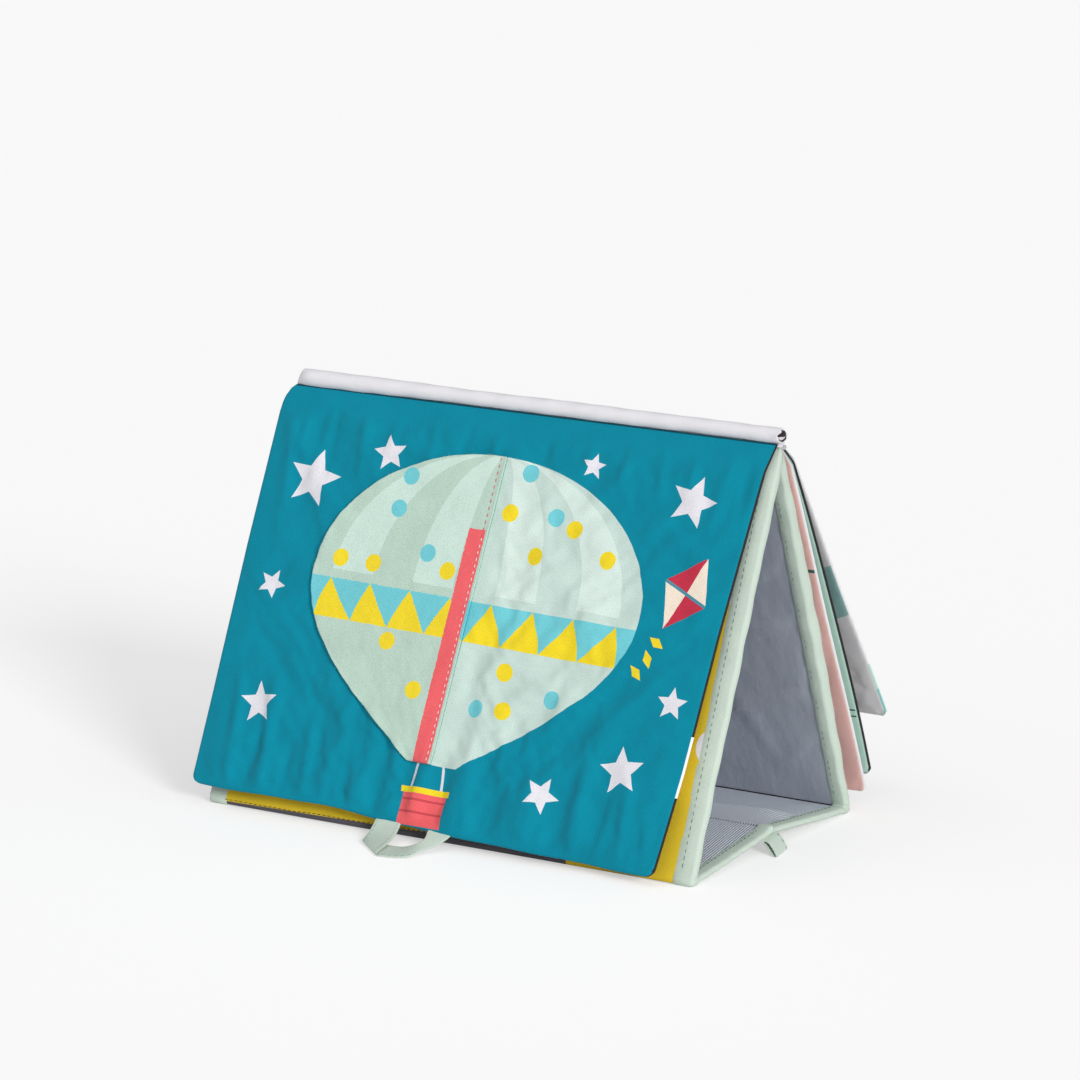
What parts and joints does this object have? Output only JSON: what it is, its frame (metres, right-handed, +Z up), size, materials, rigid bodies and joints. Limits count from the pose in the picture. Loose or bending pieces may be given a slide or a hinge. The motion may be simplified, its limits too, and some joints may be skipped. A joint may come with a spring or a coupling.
{
  "type": "tummy time activity book",
  "caption": "Soft cloth activity book that stands as a tent: stiffened walls and a creased floor fold flat, padded pages turn over a ridge roll, with a felt lift-flap and a ribbon loop.",
  "frame": {"origin": "middle of the flat that the front bottom edge stands on, at floor height", "axes": "+X along the ridge, +Y from the front wall to the rear wall, +Z up"},
  "size_m": [0.2652, 0.2121, 0.1869],
  "materials": {
    "stiffener_board": "matt flexible plastic sheet",
    "mint_binding": "soft woven tape",
    "grey_lining": "smooth woven cloth with a slight sheen",
    "floor_lining": "smooth woven cloth with a slight sheen",
    "yellow_cloth": "woven polyester",
    "dark_grey_cloth": "woven polyester",
    "white_cloth": "woven polyester",
    "black_cloth": "woven polyester",
    "teal_cloth": "twill weave",
    "pink_cloth": "woven polyester",
    "mint_page_cloth": "woven polyester",
    "pale_cloth": "woven polyester",
    "wadding": "loose polyester wadding",
    "mint_felt": "fuzzy felt"
  },
  "bodies": {
    "front_wall": {"front_wall_outer_cloth": "yellow_cloth", "front_wall_board": "stiffener_board", "front_wall_lining": "grey_lining", "front_wall_binding_left": "mint_binding", "front_wall_binding_right": "mint_binding", "front_foot_cloth": "dark_grey_cloth", "spine_roll_cover": "white_cloth", "spine_roll_core": "black_cloth"},
    "base_front": {"base_front_under_cloth": "dark_grey_cloth", "base_front_board": "stiffener_board", "base_front_lining": "floor_lining", "base_front_binding_left": "mint_binding", "base_front_binding_right": "mint_binding", "crease_cloth": "dark_grey_cloth", "crease_tab": "mint_binding"},
    "base_rear": {"base_rear_under_cloth": "dark_grey_cloth", "base_rear_board": "stiffener_board", "base_rear_lining": "floor_lining", "base_rear_binding_left": "mint_binding", "base_rear_binding_right": "mint_binding"},
    "rear_wall": {"rear_wall_outer_cloth": "dark_grey_cloth", "rear_wall_board": "stiffener_board", "rear_wall_lining": "grey_lining", "rear_wall_binding_left": "mint_binding", "rear_wall_binding_right": "mint_binding", "rear_foot_cloth": "dark_grey_cloth", "pink_page_hinge_strip": "pink_cloth", "mint_page_hinge_strip": "mint_page_cloth", "white_page_hinge_strip": "pale_cloth"},
    "front_page": {"front_page_face_cloth": "teal_cloth", "front_page_wadding": "wadding", "front_page_back_cloth": "black_cloth", "front_page_hinge_strip": "teal_cloth"},
    "felt_flap": {"felt_flap": "mint_felt"},
    "ribbon_loop": {"ribbon_loop": "mint_binding"},
    "pink_page": {"pink_page_inner_cloth": "pink_cloth", "pink_page_wadding": "wadding", "pink_page_outer_cloth": "pale_cloth"},
    "mint_page": {"mint_page_inner_cloth": "mint_page_cloth", "mint_page_wadding": "wadding", "mint_page_outer_cloth": "black_cloth"},
    "white_page": {"white_page_inner_cloth": "pale_cloth", "white_page_wadding": "wadding", "white_page_outer_cloth": "white_cloth"}
  },
  "joints": [
    {"name": "front_foot_hinge", "type": "hinge", "parent": "front_wall", "child": "base_front", "pos_m": [0, 0.00319, 0.00336], "axis": [-1, 0, 0], "range_deg": [-62.3, 0], "deforming": ["front_foot_cloth"]},
    {"name": "base_fold", "type": "hinge", "parent": "base_front", "child": "base_rear", "pos_m": [0, 0.07046, 0.00682], "axis": [1, 0, 0], "range_deg": [-169, 0], "deforming": ["crease_cloth"]},
    {"name": "rear_foot_hinge", "type": "hinge", "parent": "base_rear", "child": "rear_wall", "pos_m": [0, 0.13773, 0.00336], "axis": [-1, 0, 0], "range_deg": [-62.3, 0], "deforming": ["rear_foot_cloth"]},
    {"name": "front_page_turn", "type": "hinge", "parent": "front_wall", "child": "front_page", "pos_m": [0, 0.07046, 0.18358], "axis": [-1, 0, 0], "range_deg": [0, 285]},
    {"name": "flap_open", "type": "hinge", "parent": "front_page", "child": "felt_flap", "pos_m": [-0.006, 0.05821, 0.16165], "axis": [0.0227, 0.402, 0.9153], "range_deg": [0, 178]},
    {"name": "loop_swing", "type": "hinge", "parent": "front_page", "child": "ribbon_loop", "pos_m": [-0.0115, -0.00825, 0.00503], "axis": [-1, 0, 0], "range_deg": [0, 60]},
    {"name": "white_page_turn", "type": "hinge", "parent": "rear_wall", "child": "white_page", "pos_m": [0, 0.07046, 0.18358], "axis": [1, 0, 0], "range_deg": [0, 286], "deforming": ["white_page_hinge_strip"]},
    {"name": "mint_page_turn", "type": "hinge", "parent": "rear_wall", "child": "mint_page", "pos_m": [0, 0.07046, 0.18358], "axis": [1, 0, 0], "range_deg": [0, 286], "deforming": ["mint_page_hinge_strip"]},
    {"name": "pink_page_turn", "type": "hinge", "parent": "rear_wall", "child": "pink_page", "pos_m": [0, 0.07046, 0.18358], "axis": [1, 0, 0], "range_deg": [0, 286], "deforming": ["pink_page_hinge_strip"]}
  ],
  "couplings": [
    {"joint": "front_foot_hinge", "follows": "base_fold", "ratio": 0.36856},
    {"joint": "rear_foot_hinge", "follows": "base_fold", "ratio": 0.36856},
    {"joint": "mint_page_turn", "follows": "white_page_turn", "ratio": 1},
    {"joint": "pink_page_turn", "follows": "white_page_turn", "ratio": 1}
  ]
}
